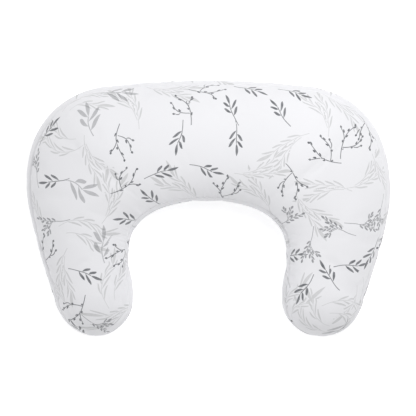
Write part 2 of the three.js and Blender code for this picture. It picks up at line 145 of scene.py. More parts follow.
def outer_at(share):
    """The outer edge's points at shares from 0 at the middle of the back to 1 at an arm's end."""
    length = share * outer_length()
    angle = np.minimum(length, ARC_HALF) / BACK_RADIUS
    centre = BACK_Y - BACK_RADIUS
    arc = np.stack([BACK_RADIUS * np.sin(angle), centre + BACK_RADIUS * np.cos(angle)], axis=-1)
    side = along(outline()[0], length - ARC_HALF)
    return np.where((length <= ARC_HALF)[..., None], arc, side)


def inner_at(share):
    """The inner edge's points at the same shares, drawn out towards the arm's end."""
    line = outline()[1]
    return along(line, (0.72 * share + 0.28 * share**7) * line[1][-1])


def smooth(t):
    """A gentle step from 0 to 1 as t goes from 0 to 1."""
    c = np.clip(t, 0, 1)
    return c * c * (3 - 2 * c)


def section(share):
    """The outer, inner and crown points of the sections at these shares, their loft and how full they are."""
    outer, inner = outer_at(share), inner_at(share)
    arc_share = ARC_HALF / outer_length()
    centring = smooth((share - arc_share) / (CENTRED_SHARE - arc_share))[..., None]
    angle = share * outer_length() / BACK_RADIUS
    radius = BACK_RADIUS - BACK_BAND / 2
    back_crown = np.stack([radius * np.sin(angle), BACK_Y - BACK_RADIUS + radius * np.cos(angle)], axis=-1)
    crown = back_crown * (1 - centring) + (outer + inner) / 2 * centring
    lowering = smooth((share - arc_share) / (LOWERED_SHARE - arc_share))
    loft = BACK_HEIGHT + (ARM_HEIGHT - BACK_HEIGHT) * lowering
    end = np.array([TIP_SHARE])
    end_width = np.linalg.norm(outer_at(end) - inner_at(end))
    fullness = np.minimum(1, np.linalg.norm(outer - inner, axis=-1) / end_width)
    return outer, inner, crown, loft, fullness


def around(angle):
    """Sideways and upward shares at a place around the section, as an angle up to RING."""
    a = np.mod(angle, RING)
    t = np.radians(a)
    top_side = np.sign(np.cos(t)) * np.abs(np.cos(t)) ** CROWN_POWER
    top_rise = np.maximum(np.sin(t), 0) ** CROWN_POWER
    inner_turn = np.radians(a - 180)
    outer_turn = np.radians(RING - a)
    side = np.select(
        [a <= 180, a < 270, a <= 290],
        [top_side, -FLAT_SHARE - (1 - FLAT_SHARE) * np.cos(inner_turn), FLAT_SHARE * (a - 280) / 10],
        FLAT_SHARE + (1 - FLAT_SHARE) * np.cos(outer_turn),
    )
    rise = np.select(
        [a <= 180, a < 270, a <= 290], [top_rise, -np.sin(inner_turn), -1.0], -np.sin(outer_turn)
    )
    return side, rise


def surface(share, angle):
    """The pillow's smooth surface, in millimetres. A negative share is on the left of the middle."""
    outer, inner, crown, loft, fullness = section(np.abs(share))
    side, rise = around(angle)
    edge = np.where((side >= 0)[..., None], outer, inner)
    plan = crown + (edge - crown) * np.abs(side)[..., None]
    equator = loft * EQUATOR_SHARE
    reach = np.where(rise >= 0, loft - equator, equator)
    x = np.where(share < 0, -plan[..., 0], plan[..., 0])
    return np.stack([x, plan[..., 1], equator + reach * fullness * rise], axis=-1)


def frame_at(share, angle):
    """Places on the surface and their outward normals, in millimetres. The arms' very ends point forwards."""
    place = surface(share, angle)
    step, half_turn = 0.002, 0.4
    run = surface(np.clip(share + step, -1, 1), angle) - surface(np.clip(share - step, -1, 1), angle)
    turn = surface(share, angle + half_turn) - surface(share, angle - half_turn)
    normal = np.cross(turn, run)
    length = np.linalg.norm(normal, axis=-1, keepdims=True)
    ends = (np.abs(share) > 0.9995)[..., None] | (length < 1e-9)
    normal = np.where(ends, [0.0, -1.0, 0.0], normal / np.maximum(length, 1e-9))
    return place, normal


# ---------- colours and nodes ----------


def colour(code):
    """A hex colour, such as #EEF0F3, as linear light with full cover."""
    parts = [int(code[k : k + 2], 16) / 255 for k in (1, 3, 5)]
    return tuple(c / 12.92 if c <= 0.04045 else ((c + 0.055) / 1.055) ** 2.4 for c in parts) + (1.0,)


def feed(tree, node, inputs):
    """Sets a node's inputs to values, or links them to a node or a (node, output)."""
    for name, value in inputs.items():
        if isinstance(value, bpy.types.Node):
            tree.links.new(value.outputs[0], node.inputs[name])
        elif isinstance(value, tuple) and isinstance(value[0], bpy.types.Node):
            tree.links.new(value[0].outputs[value[1]], node.inputs[name])
        else:
            node.inputs[name].default_value = value


def add(tree, kind, settings=None, inputs=None):
    """Adds a node with its settings and its links."""
    node = tree.nodes.new(kind)
    for name, value in (settings or {}).items():
        setattr(node, name, value)
    feed(tree, node, inputs or {})
    return node


def new_material(name):
    """An empty node material with its output and its shader."""
    material = bpy.data.materials.new(name)
    material.use_nodes = True
    tree = material.node_tree
    tree.nodes.clear()
    shader = add(tree, "ShaderNodeBsdfPrincipled")
    add(tree, "ShaderNodeOutputMaterial", None, {"Surface": shader})
    return material, tree, shader


# ---------- meshes ----------


def grid_sheet(share, angle, places, normals):
    """A bmesh of one sheet over the grid, its normals outwards, that keeps each vertex's share and angle."""
    stations, columns = share.shape
    bm = bmesh.new()
    share_layer = bm.verts.layers.float.new("share")
    angle_layer = bm.verts.layers.float.new("angle")
    bmesh.ops.create_grid(bm, x_segments=columns - 1, y_segments=stations - 1, size=1)
    order = sorted(bm.verts, key=lambda v: (round(v.co.y, 6), round(v.co.x, 6)))
    flat = zip(order, places.reshape(-1, 3) * MM, share.ravel(), angle.ravel())
    for vertex, place, vertex_share, vertex_angle in flat:
        vertex.co = place
        vertex[share_layer] = vertex_share
        vertex[angle_layer] = vertex_angle
    middle = order[(stations // 2) * columns + columns // 2]
    bm.normal_update()
    if middle.normal.dot(Vector(normals[stations // 2, columns // 2])) < 0:
        bmesh.ops.reverse_faces(bm, faces=bm.faces)
    bmesh.ops.remove_doubles(bm, verts=bm.verts, dist=1e-6)
    return bm


def add_object(bm, name, material, body="pillow"):
    """Turns a bmesh into an object with its material, riding on a body of the frame."""
    for face in bm.faces:
        face.smooth = True
    mesh = bpy.data.meshes.new(name)
    bm.to_mesh(mesh)
    bm.free()
    obj = bpy.data.objects.new(name, mesh)
    bpy.context.scene.collection.objects.link(obj)
    mesh.materials.append(material)
    if body:
        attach(obj, body)
    return obj


def read(mesh, name, width=1):
    """A mesh attribute as an array."""
    values = np.empty(len(mesh.attributes[name].data) * width, np.float32)
    mesh.attributes[name].data.foreach_get("vector" if width == 3 else "value", values)
    return values.reshape(-1, 3).astype(float) if width == 3 else values.astype(float)


# ---------- how the stuffed cover settles ----------

SETTLING_DEPTH = 1.5
SETTLING_FRAMES = 20


def stations_along(step_at_back, arm_count, crowding=1.25):
    """Shares from one arm's end to the other, with stations exactly at the slit's ends and the arc's."""
    length = outer_length()
    back = np.arange(1, round(SLIT_HALF / step_at_back) + 1) * SLIT_HALF / round(SLIT_HALF / step_at_back)
    past = np.linspace(SLIT_HALF, ARC_HALF, max(2, round(25 / step_at_back) + 1))[1:]
    arc_share = ARC_HALF / length
    arm = 1 - (1 - arc_share) * (1 - np.arange(1, arm_count + 1) / arm_count) ** crowding
    half = np.concatenate([back / length, past / length, arm])
    return np.concatenate([-half[::-1], [0], half])


def rows_through(*runs):
    """Angles through runs of (start, end, steps) that follow one another."""
    parts = [np.linspace(start, end, steps, endpoint=False) for start, end, steps in runs]
    return np.concatenate([*parts, [runs[-1][1]]])


def slit_turn():
    """Half the slit's width as an angle around the section, at the middle of the back."""
    turn = math.radians(ZIP_ANGLE)
    across = BACK_BAND / 2 * (1 - FLAT_SHARE) * math.sin(turn)
    radius = math.hypot(across, BACK_HEIGHT * EQUATOR_SHARE * math.cos(turn))
    return math.degrees(SLIT_WIDTH / 2 / radius)


# The cloth is calm this far past the zip's ends, in millimetres, and this far beside it, in degrees.
CALM_PAST = 8
CALM_BESIDE = 16


def near_zip(share, angle, reach):
    """1 around the zip, going to 0 over reach millimetres at its ends and beside it."""
    along = np.abs(share) * outer_length()
    a = np.mod(angle, RING)
    ends = 1 - smooth((along - SLIT_HALF - CALM_PAST) / reach)
    sides = 1 - smooth((np.abs(a - (RING - ZIP_ANGLE)) - CALM_BESIDE) / (reach * 0.9))
    return ends * sides


@cache
def settled():
    """The simulated wrinkles: stations, rows and the push along the normal at each, in millimetres."""
    stations = stations_along(6.0, 92)
    rows = rows_through(
        (0, SEAM_ANGLE, 6), (SEAM_ANGLE, 180 - SEAM_ANGLE, 46), (180 - SEAM_ANGLE, 180, 6),
        (180, 270, 16), (270, 290, 12), (290, RING, 16),
    )
    share, angle = np.meshgrid(stations, rows, indexing="ij")
    places, normals = frame_at(share, angle)
    start = places - normals * SETTLING_DEPTH
    bm = grid_sheet(share, angle, start, normals)
    obj = add_object(bm, "settling", bpy.data.materials.new("settling"), body=None)
    mesh = obj.data
    at = np.stack([read(mesh, "share"), read(mesh, "angle")], axis=-1)
    rest = read(mesh, "position", 3) / MM
    pinned = np.maximum(near_zip(at[:, 0], at[:, 1], 20), 1 - smooth((rest[:, 2] - 2.5) / 10))
    from_seam = np.minimum(np.abs(at[:, 1] - SEAM_ANGLE), np.abs(at[:, 1] - (180 - SEAM_ANGLE)))
    beside_seam = np.exp(-((from_seam / 3.0) ** 2))
    for name, weights in (("held", pinned), ("gathered", beside_seam)):
        group = obj.vertex_groups.new(name=name)
        for k, weight in enumerate(weights):
            if weight > 0.01:
                group.add([k], float(weight), "REPLACE")
    cloth = obj.modifiers.new("cloth", "CLOTH")
    settings = cloth.settings
    settings.quality = 5
    settings.mass = 0.3
    settings.tension_stiffness = 12
    settings.compression_stiffness = 12
    settings.shear_stiffness = 6
    settings.bending_stiffness = 0.2
    settings.use_pressure = True
    settings.uniform_pressure_force = 4
    settings.effector_weights.gravity = 0
    settings.vertex_group_mass = "held"
    settings.vertex_group_shrink = "gathered"
    settings.shrink_min = -0.035
    settings.shrink_max = 0.02
    cloth.collision_settings.use_collision = False
    for frame in range(1, SETTLING_FRAMES + 1):
        bpy.context.scene.frame_set(frame)
    shaped = obj.evaluated_get(bpy.context.evaluated_depsgraph_get())
    moved = np.array([v.co for v in shaped.data.vertices]) / MM - rest
    bpy.context.scene.frame_set(1)
    tree = kdtree.KDTree(len(rest))
    for k, place in enumerate(rest):
        tree.insert(place, k)
    tree.balance()
    index = [tree.find(place)[1] for place in start.reshape(-1, 3)]
    push = (moved[index].reshape(places.shape) * normals).sum(axis=-1)
    bpy.data.objects.remove(obj)
    return stations, rows, push


def blur(field, passes):
    """Evens a grid out along both ways, passes times."""
    for _ in range(passes):
        padded = np.pad(field, ((1, 1), (0, 0)), "edge")
        field = (padded[:-2] + 2 * padded[1:-1] + padded[2:]) / 4
        ring = np.concatenate([field[:, -2:-1], field, field[:, 1:2]], axis=1)
        field = (ring[:, :-2] + 2 * ring[:, 1:-1] + ring[:, 2:]) / 4
    return field


@cache
def wrinkles():
    """The settled push with most of its broad swelling taken out, so that the outline keeps its size."""
    stations, rows, push = settled()
    broad = blur(push, 60)
    return stations, rows, np.clip(push - broad, -3.5, 3.5) + np.clip(broad - broad.mean(), -2, 2) * 0.3


def sample(stations, rows, field, share, angle):
    """The grid's field at any share and angle, through cubic splines."""
    fi = np.interp(share, stations, np.arange(len(stations)))
    fj = np.interp(np.mod(angle, RING), rows, np.arange(len(rows)))
    around_count = len(rows) - 1
    i0, j0 = np.floor(fi).astype(int), np.floor(fj).astype(int)

    def weights(t):
        """The four shares of a cubic spline at t."""
        cube, square = t**3, t**2
        late = (-3 * cube + 3 * square + 3 * t + 1) / 6
        return [(1 - t) ** 3 / 6, (3 * cube - 6 * square + 4) / 6, late, cube / 6]

    total = 0
    for di, wi in enumerate(weights(fi - i0)):
        for dj, wj in enumerate(weights(fj - j0)):
            i = np.clip(i0 + di - 1, 0, len(stations) - 1)
            total = total + wi * wj * field[i, (j0 + dj - 1) % around_count]
    return total


def seam_waves(share, seed):
    """Gathers along a seam, about -1 to 1: uneven waves of several lengths, in millimetres."""
    along = share * outer_length()
    draw = np.random.default_rng(seed)
    total = 0
    for length in (11.0, 14.5, 19.0, 27.0, 46.0):
        phase, wander = draw.uniform(0, 2 * math.pi, 2)
        total = total + np.sin(2 * math.pi * along / length + phase + 1.3 * np.sin(along / 61 + wander))
    return total / 3.2


def sizes_of_cover():
    """The settings of how the cover lies."""
    return bpy.context.scene.pillow_cloth


# How wide the valley along a seam is, and how far from it the gathers reach, in millimetres.
VALLEY_WIDTH = 2.6
GATHER_REACH = 11


def seam_dressing(share, angle, places):
    """How far the seams push the cloth out: a valley along each and gathers that fade beside it."""
    sizes = sizes_of_cover()
    depth, gathers = sizes.seam_depth / MM, sizes.gather_height / MM
    a = np.mod(angle, RING)
    total = np.zeros(share.shape)
    for seam, seed in ((SEAM_ANGLE, 3), (180 - SEAM_ANGLE, 8)):
        away = np.linalg.norm(places - surface(share, np.full(share.shape, seam)), axis=-1)
        away = np.where(np.abs(a - seam) > 90, 200, away)
        waves = seam_waves(share, seed)
        quiet = 0.55 + 0.45 * np.sin(share * 9 + seed)
        # Round the inside of the back the seam is drawn out straight, and shows least.
        taut = 1 if seam == SEAM_ANGLE else 0.35 + 0.65 * smooth((np.abs(share) - 0.3) / 0.2)
        total -= depth * taut * np.exp(-((away / VALLEY_WIDTH) ** 2)) * (1 + 0.25 * waves)
        total += gathers * quiet * waves * np.exp(-away / GATHER_REACH) * (1 - np.exp(-away / 2))
    return total


def cover_places(share, angle):
    """Where the cover's outer face lies, and the smooth surface's normals there, in millimetres."""
    places, normals = frame_at(share, angle)
    strength = sizes_of_cover().wrinkle_strength
    push = strength * sample(*wrinkles(), share, angle) + seam_dressing(share, angle, places)
    calm = 1 - near_zip(share, angle, 14)
    grounded = smooth((places[..., 2] - 0.5) / 6)
    at_tip = smooth((1 - np.abs(share)) / 0.02)
    push = push * calm * grounded * at_tip
    # The right arm is stuffed a little fuller on its outer side.
    a = np.mod(angle, RING)
    outer_side = np.clip(np.cos(np.radians(np.where(a > 180, RING - a, angle))), 0, 1)
    fuller = smooth((share - 0.46) / 0.2) * smooth((1.02 - share) / 0.12)
    push = push + sizes_of_cover().fuller_arm / MM * fuller * outer_side**0.7
    places = places + normals * push[..., None]
    places[..., 2] = np.maximum(places[..., 2], 0)
    return places, normals


# ---------- the printed leaves ----------

# Each sprig, in millimetres from its foot: its head, and then its strokes as kind, start x, start y, end x,
# end y and bend to the left.
SPRIGS = {
    "berry": (
        (26.0, 53.0),
        ("bud", 0, 0, 26.0, 53.0, 8.8), ("bud", 4.2, 27.6, 1.3, 48.8, -1.8),
        ("bud", 1.1, 18.4, 37.7, 35.9, -6.4), ("bud", 21.2, 19.8, 33.1, 22.5, -1.8),
    ),
    "berry_left": (
        (-20.2, 52.0),
        ("bud", 0, 0, -20.2, 52.0, -8.7), ("bud", -1.8, 29.4, 2.8, 46.0, 1.8),
        ("bud", -0.6, 19.3, -27.6, 37.7, 6.4), ("bud", -15.6, 20.7, -23.9, 20.2, 1.8),
    ),
    "bud_spray": (
        (0, 60.0),
        ("cluster", 0, 0, 11.0, 56, 3.0), ("spray", 1.6, 23, -6.0, 52, -2.5),
        ("spray", 0.8, 32, -13.0, 43, -1.5),
    ),
    "leaf_sprig": ((0, 58.0), ("small_leaf", 0, 0, 0, 38, 2.0)),
    "broad_leaf": ((0, 54.0), ("broad_leaf", 0, 0, 0, 33, 3.5)),
    "willow": (
        (0, 82.0),
        ("willow", 0, 0, 0, 66, -4.0), ("willow", 0.5, 14, -22, 64, -5.0),
    ),
    "willow_arc": ((0, 82.0), ("willow", 0, 0, 0, 70, 17.0), ("willow", 8.0, 14, 20, 58, 8.0)),
}
# Each kind of stroke, in millimetres: leaf spacing, a leaf's reach from the stem, its half width, its slope
# along the stem, the stem's bare foot, the end leaf's length and the stem's half width. Then come the ink's
# strength and the layer that it is printed in.
Form = namedtuple("Form", "spacing reach half_width slope foot end_leaf stem_half strength layer")
STROKES = {
    "bud": Form(21.0, 4.0, 2.0, 0.7, 15.0, 5.0, 0.66, 1.0, 0),
    "cluster": Form(9.0, 5.2, 2.1, 1.2, 25.0, 7.5, 0.50, 0.74, 0),
    "spray": Form(7.4, 4.9, 2.1, 1.2, 8.0, 7.5, 0.46, 0.74, 0),
    "small_leaf": Form(11.0, 12.6, 2.5, 1.15, 17.0, 20.0, 0.60, 0.96, 0),
    "broad_leaf": Form(15.0, 19.5, 3.7, 1.1, 9.0, 29.0, 0.85, 0.48, 0),
    "willow": Form(16.0, 9.5, 3.2, 2.6, 12.0, 29.0, 0.50, 0.32, 1),
}
# A stroke laid on the cloth: its kind, start, direction, length and bend, and the cloth's normal.
Stroke = namedtuple("Stroke", "kind start along length bend up")
# Rows of the print along the pillow: the angle around the section and how many sprigs stand in the row.
TOP_ROWS = ((34, 19), (61, 17), (89, 14), (118, 12), (146, 10))
UNDER_ROWS = ((186, 14), (222, 14), (262, 17), (280, 17), (298, 17), (336, 17), (374, 17))
# The order in which the kinds of sprig follow one another in a row.
TOP_SPRIGS = (
    "leaf_sprig", "willow", "berry", "willow", "bud_spray", "leaf_sprig", "willow_arc", "broad_leaf",
    "willow", "berry_left", "leaf_sprig",
)
UNDER_SPRIGS = (
    "leaf_sprig", "willow", "berry", "broad_leaf", "willow_arc", "berry_left", "bud_spray", "willow",
)
HALF_SPRIG = 30.0
# The sprigs turn by this much from row to row, and each by up to this much either way, in radians. None
# stands past the last share.
ROW_TURN = 2.1
TURN_SPREAD = 0.6
LAST_SHARE = 0.97
STEM_WAVER = 0.8
WAVER_LENGTH = 42.0
# Cloth further than this from every stroke stays blank.
PRINT_REACH = 45.0
# How much a stroke's height over a face counts beside its distance along the cloth, and how nearly a face has
# to point the stroke's way to carry it.
HEIGHT_WEIGHT = 0.35
LEAST_FACING = 0.1


def standing(kind, foot, head, normal):
    """A sprig's strokes, laid on the cloth from its foot towards its head."""
    aim, *strokes = SPRIGS[kind]
    up = head - foot
    up = up - normal * up.dot(normal)
    up /= np.linalg.norm(up)
    right = np.cross(up, normal)
    aim_up = np.array(aim) / np.hypot(*aim)
    aim_right = np.array([aim_up[1], -aim_up[0]])

    def place(x, y):
        """Where a point of the sprig lies on the cloth."""
        return foot + right * np.dot((x, y), aim_right) + up * np.dot((x, y), aim_up)

    laid = []
    for style, x0, y0, x1, y1, bend in strokes:
        start, end = place(x0, y0), place(x1, y1)
        length = np.linalg.norm(end - start)
        laid.append(Stroke(style, start, (end - start) / length, length, bend, normal))
    return laid


def strokes_in_rows(rows, kinds, seed):
    """Every stroke printed on one panel, on an even repeat with sprigs turned a little unevenly."""
    draw = np.random.default_rng(seed)
    laid = []
    for row, (angle, count) in enumerate(rows):
        for k in range(count):
            share = (k + 0.5 + 0.5 * (row % 2)) / count * 2 - 1
            if abs(share) > LAST_SHARE:
                continue
            kind = kinds[(k + row * 2) % len(kinds)]
            foot, normal = (value[0] for value in frame_at(np.array([share]), np.array([float(angle)])))
            turn = draw.uniform(-TURN_SPREAD, TURN_SPREAD) + (row % 3) * ROW_TURN
            ahead = surface(np.array([share + 0.01]), np.array([float(angle)]))[0] - foot
            side = np.cross(normal, ahead)
            heading = ahead / np.linalg.norm(ahead) * math.cos(turn)
            heading = heading + side / np.linalg.norm(side) * math.sin(turn)
            laid += standing(kind, foot - heading * HALF_SPRIG, foot + heading * HALF_SPRIG, normal)
    return laid


def stem_shift(y, length, bend, number):
    """How far to the left a stem lies at y: its bend, and a slight waver that differs from stem to stem."""
    t = np.clip(y / length, 0, 1)
    waver = STEM_WAVER * np.sin(2 * math.pi * y / WAVER_LENGTH + 2.4 * number)
    return bend * 4 * t * (1 - t) + waver * np.sqrt(t)


def lay_print(mesh, strokes):
    """Gives each face of a panel its nearest stroke, as coordinates across and along it, for both layers."""
    faces = len(mesh.polygons)
    corners = np.empty(len(mesh.loops), int)
    mesh.loops.foreach_get("vertex_index", corners)
    starts, sizes = np.empty(faces, int), np.empty(faces, int)
    mesh.polygons.foreach_get("loop_start", starts)
    mesh.polygons.foreach_get("loop_total", sizes)
    share, angle = read(mesh, "share"), read(mesh, "angle")
    at, normal = frame_at(share, angle)
    corner_at = at[corners]
    centre = np.add.reduceat(corner_at, starts) / sizes[:, None]
    outwards = np.add.reduceat(normal[corners], starts) / sizes[:, None]
    for layer, name in enumerate(("sprig", "frond")):
        chosen = [stroke for stroke in strokes if STROKES[stroke.kind].layer == layer]
        nearest, owner = np.full(faces, 1e9), np.zeros(faces, int)
        for k, stroke in enumerate(chosen):
            offset = centre - stroke.start
            y = offset @ stroke.along
            x = offset @ np.cross(stroke.along, stroke.up) + stem_shift(y, stroke.length, stroke.bend, k)
            past_end = y - stroke.length - STROKES[stroke.kind].end_leaf
            away = np.hypot(x, np.maximum(0, np.maximum(-y, past_end)))
            away = away + HEIGHT_WEIGHT * np.abs(offset @ stroke.up)
            away = np.where(outwards @ stroke.up < LEAST_FACING, 1e8, away)
            closer = away < nearest
            nearest[closer], owner[closer] = away[closer], k
        face_of = np.repeat(np.arange(faces), sizes)
        mine = owner[face_of]
        along, up, length, bend, start = (
            np.array([getattr(stroke, part) for stroke in chosen])[mine]
            for part in ("along", "up", "length", "bend", "start")
        )
        form = Form(*np.array([STROKES[stroke.kind] for stroke in chosen])[mine].T)
        offset = corner_at - start
        y = (offset * along).sum(axis=1)
        x = (offset * np.cross(along, up)).sum(axis=1) + stem_shift(y, length, bend, mine)
        strength = np.where(nearest[face_of] > PRINT_REACH, 0, form.strength)
        for suffix, values in (
            ("_at", (x, y, length)),
            ("_leaf", (form.spacing, form.reach, form.half_width)),
            ("_stem", (form.slope, form.foot, form.end_leaf)),
            ("_ink", (form.stem_half, strength, np.zeros(len(x)))),
        ):
            data = mesh.attributes.new(name + suffix, "FLOAT_VECTOR", "CORNER").data
            data.foreach_set("vector", np.stack(values, axis=-1).astype(np.float32).ravel())


# ---------- materials ----------


# How dark the print is, step by step: name, operation, then operands, which are numbers, earlier steps or the
# coordinates that lay_print gave the faces: x across the stem and y along it, in millimetres.
INK_STEPS = (
    ("out", "ABSOLUTE", "x"),
    ("left", "LESS_THAN", "x", 0.0),
    # Leaves on the left stand half a spacing higher than those on the right.
    ("half_spacing", "MULTIPLY", "spacing", 0.5),
    ("first_leaf", "MULTIPLY_ADD", "left", "half_spacing", "foot"),
    ("rise", "MULTIPLY", "out", "slope"),
    ("below", "SUBTRACT", "y", "rise"),
    ("root", "SUBTRACT", "below", "first_leaf"),
    ("turns", "DIVIDE", "root", "spacing"),
    ("leaf_number", "ROUND", "turns"),
    ("leaf_root", "MULTIPLY", "leaf_number", "spacing"),
    ("off_axis", "SUBTRACT", "root", "leaf_root"),
    ("beside", "ABSOLUTE", "off_axis"),
    # Every leaf has a length of its own.
    ("seed", "MULTIPLY_ADD", "leaf_number", 7.31, "length"),
    ("side_seed", "MULTIPLY_ADD", "left", 3.7, "seed"),
    ("chance", "SINE", "side_seed"),
    ("stretch", "MULTIPLY_ADD", "chance", 0.15, 0.9),
    ("leaf_reach", "MULTIPLY", "reach", "stretch"),
    ("t", "DIVIDE", "out", "leaf_reach"),
    # A leaf's outline is 5.4 (1 - t) t ^ 1.5, which is narrow at the stem, fullest at 0.6 and pointed.
    ("rest", "SUBTRACT", 1.0, "t"),
    ("rounding", "POWER", "t", 1.5),
    ("outline", "MULTIPLY", "rest", "rounding"),
    ("wide", "MULTIPLY", "outline", 5.4),
    ("half", "MULTIPLY", "wide", "half_width"),
    ("narrowed", "MULTIPLY", "beside", 0.75),
    ("inside_leaf", "SUBTRACT", "half", "narrowed"),
    ("leaf", "MULTIPLY_ADD", "inside_leaf", 2.2, 0.5),
    ("leaf_place", "ADD", "leaf_root", "first_leaf"),
    ("before_end", "SUBTRACT", "length", 1.0),
    ("on_stem", "LESS_THAN", "leaf_place", "before_end"),
    ("after_foot", "GREATER_THAN", "leaf_number", -0.5),
    ("within_reach", "LESS_THAN", "out", "leaf_reach"),
    ("allowed", "MULTIPLY", "on_stem", "after_foot"),
    ("shown", "MULTIPLY", "allowed", "within_reach"),
    ("leaf_ink", "MULTIPLY", "leaf", "shown"),
    # The end leaf goes on along the stem.
    ("beyond", "SUBTRACT", "y", "length"),
    ("past", "DIVIDE", "beyond", "end_leaf"),
    ("end_rest", "SUBTRACT", 1.0, "past"),
    ("end_rounding", "POWER", "past", 1.1),
    ("end_outline", "MULTIPLY", "end_rest", "end_rounding"),
    ("end_wide", "MULTIPLY", "end_outline", 3.6),
    ("end_half", "MULTIPLY", "end_wide", "half_width"),
    ("inside_end", "SUBTRACT", "end_half", "out"),
    ("end", "MULTIPLY_ADD", "inside_end", 2.2, 0.5),
    ("past_stem", "GREATER_THAN", "past", 0.0),
    ("before_tip", "LESS_THAN", "past", 1.0),
    ("end_shown", "MULTIPLY", "past_stem", "before_tip"),
    ("end_ink", "MULTIPLY", "end", "end_shown"),
    ("inside_stem", "SUBTRACT", "stem_half", "out"),
    ("stem", "MULTIPLY_ADD", "inside_stem", 2.2, 0.45),
    ("above_foot", "GREATER_THAN", "y", 0.0),
    ("below_end", "LESS_THAN", "y", "length"),
    ("stem_shown", "MULTIPLY", "above_foot", "below_end"),
    ("stem_ink", "MULTIPLY", "stem", "stem_shown"),
    ("leaves", "MAXIMUM", "leaf_ink", "end_ink"),
    ("all", "MAXIMUM", "leaves", "stem_ink"),
    ("ink", "MULTIPLY", "all", "strength"),
)
CLAMPED_STEPS = ("t", "leaf", "past", "end", "stem")
INK_INPUTS = {
    "_at": ("x", "y", "length"),
    "_leaf": ("spacing", "reach", "half_width"),
    "_stem": ("slope", "foot", "end_leaf"),
    "_ink": ("stem_half", "strength"),
}


def sprig_ink(tree, layer):
    """How dark one layer of the print is, from the coordinates that lay_print gave the faces."""
    known = {}
    for suffix, names in INK_INPUTS.items():
        source = add(tree, "ShaderNodeAttribute", {"attribute_name": layer + suffix})
        split = add(tree, "ShaderNodeSeparateXYZ", None, {0: (source, "Vector")})
        known.update({name: (split, axis) for axis, name in enumerate(names)})
    for name, operation, *operands in INK_STEPS:
        inputs = {k: known.get(operand, operand) for k, operand in enumerate(operands)}
        settings = {"operation": operation, "use_clamp": name in CLAMPED_STEPS}
        known[name] = add(tree, "ShaderNodeMath", settings, inputs)
    return known["ink"]


def printed_cotton():
    """Printed cotton: plain woven and matt, with a fine grain, and grey leaves inked a little unevenly."""
    looks = bpy.context.scene.pillow_print
    material, tree, shader = new_material("printed_cotton")
    place = add(tree, "ShaderNodeTexCoord")
    # Ink takes unevenly on the yarns, over a few millimetres.
    wash = add(tree, "ShaderNodeTexNoise", None, {"Vector": (place, "Object"), "Scale": 160.0, "Detail": 3.0})
    uneven = add(tree, "ShaderNodeMapRange", None, {"Value": wash, 1: 0.3, 2: 0.7, 3: 0.78, 4: 1.0})
    shade = add(tree, "ShaderNodeTexNoise", None, {"Vector": (place, "Object"), "Scale": 9.0, "Detail": 2.0})
    colours = add(
        tree, "ShaderNodeMix", {"data_type": "RGBA"},
        {"Factor": shade, 6: colour_of(looks.ground), 7: colour_of(looks.ground_shade)},
    )
    for layer, ink_colour in (("frond", looks.frond_ink), ("sprig", looks.sprig_ink)):
        ink = add(
            tree, "ShaderNodeMath", {"operation": "MULTIPLY", "use_clamp": True},
            {0: sprig_ink(tree, layer), 1: uneven},
        )
        colours = add(
            tree, "ShaderNodeMix", {"data_type": "RGBA"},
            {"Factor": ink, 6: (colours, 2), 7: colour_of(ink_colour)},
        )
    feed(tree, shader, {"Base Color": (colours, 2)})
    weave(tree, shader, place, 0.9, 0.05)
    feed(tree, shader, {
        "Roughness": 0.86, "Sheen Weight": 0.12, "Sheen Roughness": 0.6, "Specular IOR Level": 0.25,
    })
    return material


def weave(tree, shader, place, thread_mm, height_mm):
    """A plain weave's bump: threads both ways, thread_mm apart, drawn coarser than real so that they show."""
    # Wave texture bands repeat every pi / 10 of their coordinate.
    scale = math.pi / 10 / (thread_mm * MM)
    warp, weft = (
        add(
            tree, "ShaderNodeTexWave", {"bands_direction": direction},
            {
                "Vector": (place, "Object"), "Scale": scale, "Distortion": 0.6, "Detail": 1.0,
                "Detail Scale": 2.0,
            },
        )
        for direction in ("X", "Y")
    )
    lint = add(tree, "ShaderNodeTexNoise", None, {"Vector": (place, "Object"), "Scale": 900.0, "Detail": 2.0})
    threads = add(tree, "ShaderNodeMath", {"operation": "MULTIPLY"}, {0: (warp, "Fac"), 1: (weft, "Fac")})
    height = add(tree, "ShaderNodeMath", {"operation": "MULTIPLY_ADD"}, {0: lint, 1: 0.5, 2: threads})
    bump = add(tree, "ShaderNodeBump", None, {"Strength": 0.35, "Distance": height_mm * MM, "Height": height})
    feed(tree, shader, {"Normal": bump})


def plain_fabric(name, low, high, thread_mm, roughness):
    """A plain cloth or yarn: matt, with slight mottling between two shades and a woven bump."""
    material, tree, shader = new_material(name)
    place = add(tree, "ShaderNodeTexCoord")
    mottle = add(
        tree, "ShaderNodeTexNoise", None, {"Vector": (place, "Object"), "Scale": 120.0, "Detail": 3.0}
    )
    mixed = add(
        tree, "ShaderNodeMix", {"data_type": "RGBA"}, {"Factor": mottle, 6: colour(low), 7: colour(high)}
    )
    feed(tree, shader, {"Base Color": (mixed, 2), "Roughness": roughness, "Sheen Weight": 0.15})
    weave(tree, shader, place, thread_mm, 0.08)
    return material


def colour_of(value):
    """A colour property as linear light with full cover."""
    return (*value, 1.0)


def nylon_monofilament():
    """Nylon monofilament, extruded and coiled: slightly translucent white with a low gloss."""
    material, tree, shader = new_material("nylon_monofilament")
    place = add(tree, "ShaderNodeTexCoord")
    tint = add(tree, "ShaderNodeTexNoise", None, {"Vector": (place, "Object"), "Scale": 400.0})
    mixed = add(
        tree, "ShaderNodeMix", {"data_type": "RGBA"},
        {"Factor": tint, 6: colour("#DADBDE"), 7: colour("#F3F3F4")},
    )
    feed(tree, shader, {
        "Base Color": (mixed, 2), "Roughness": 0.38, "IOR": 1.53, "Subsurface Weight": 0.05,
    })
    return material


